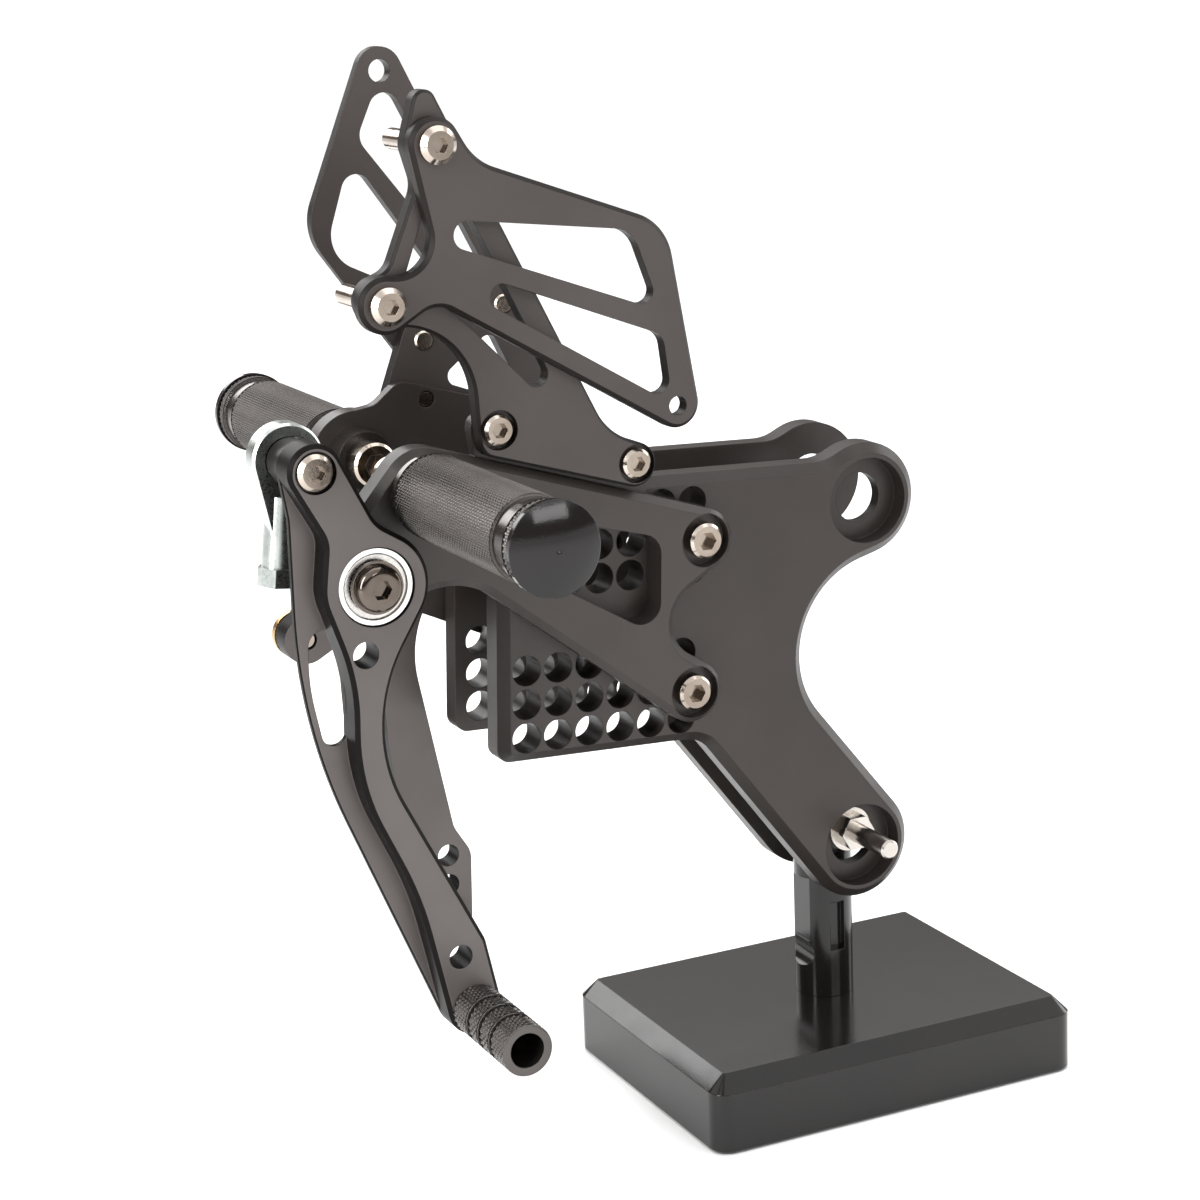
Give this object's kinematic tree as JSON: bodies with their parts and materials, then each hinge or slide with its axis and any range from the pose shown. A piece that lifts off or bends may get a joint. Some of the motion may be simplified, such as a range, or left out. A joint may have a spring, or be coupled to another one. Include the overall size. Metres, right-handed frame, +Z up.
{
  "type": "motorcycle rearset foot peg assembly",
  "caption": "Pair of adjustable foot-peg rearsets with drilled main plates, heel guards, knurled pegs, brake and shift levers, bolted to a display stand.",
  "frame": {"origin": "centre of the stand base's bottom face", "axes": "+Z up; Y is the foot pegs' and pivots' axis, -Y towards the brake side; +X from the pegs towards the frame bolts"},
  "size_m": [0.2483, 0.237, 0.3263],
  "materials": {
    "bearing_steel": "ground",
    "brass": "turned",
    "gloss_black": "glossy anodised",
    "guard_black": "satin anodised",
    "knurled_black": "knurled, anodised",
    "lever_black": "satin anodised",
    "plate_black": "satin anodised",
    "spacer_black": "satin anodised",
    "stainless": "polished",
    "stand_black": "satin anodised",
    "zinc_steel": "zinc plated"
  },
  "bodies": {
    "root": {"left_bearing_inner": "bearing_steel", "left_bracket_screws": "stainless", "left_guard_bolts": "stainless", "left_guard_bracket": "guard_black", "left_hanger": "plate_black", "left_hanger_bolts": "stainless", "left_hanger_nuts": "stainless", "left_heel_guard": "guard_black", "left_main_plate": "plate_black", "left_peg_body": "knurled_black", "left_peg_bolt": "stainless", "left_peg_cap": "gloss_black", "left_peg_collar": "spacer_black", "left_pivot_bolt": "stainless", "left_pivot_bush": "spacer_black", "right_bearing_inner": "bearing_steel", "right_bracket_screws": "stainless", "right_guard_bolts": "stainless", "right_guard_bracket": "guard_black", "right_hanger": "plate_black", "right_hanger_bolts": "stainless", "right_hanger_nuts": "stainless", "right_heel_guard": "guard_black", "right_main_plate": "plate_black", "right_peg_body": "knurled_black", "right_peg_bolt": "stainless", "right_peg_cap": "gloss_black", "right_peg_collar": "spacer_black", "right_pivot_bolt": "stainless", "right_pivot_bush": "spacer_black", "stand_base": "stand_black", "stand_bolt": "stainless", "stand_nut": "stainless", "stand_post": "stand_black", "stand_spacers": "spacer_black", "stand_stud": "stainless", "stand_washers": "stainless"},
    "brake_lever": {"right_brake_lever": "lever_black", "right_bearing_outer": "bearing_steel", "right_bearing_shields": "bearing_steel", "right_toe_peg": "knurled_black", "right_toe_screw": "stainless", "right_rod_end_ball": "zinc_steel", "right_rod_end_spacer": "spacer_black", "right_rod_end_bolt": "stainless"},
    "brake_rod_end": {"right_rod_end_housing": "zinc_steel"},
    "shift_lever": {"left_shift_lever": "lever_black", "left_bearing_outer": "bearing_steel", "left_bearing_shields": "bearing_steel", "left_toe_peg": "knurled_black", "left_toe_screw": "stainless", "left_linkage_spacer": "spacer_black", "left_linkage_brass_ring": "brass", "left_linkage_bolt": "stainless"}
  },
  "joints": [
    {"name": "brake_lever_pivot", "type": "hinge", "parent": "root", "child": "brake_lever", "pos_m": [-0.15892, -0.0375, 0.18724], "axis": [0, 1, 0], "range_deg": [0, 10]},
    {"name": "brake_rod_end_swivel", "type": "hinge", "parent": "brake_lever", "child": "brake_rod_end", "pos_m": [-0.17404, -0.0175, 0.22036], "axis": [0, 1, 0], "range_deg": [0, 20]},
    {"name": "shift_lever_pivot", "type": "hinge", "parent": "root", "child": "shift_lever", "pos_m": [-0.12191, 0.0365, 0.17566], "axis": [0, 1, 0], "range_deg": [-8, 8]}
  ]
}
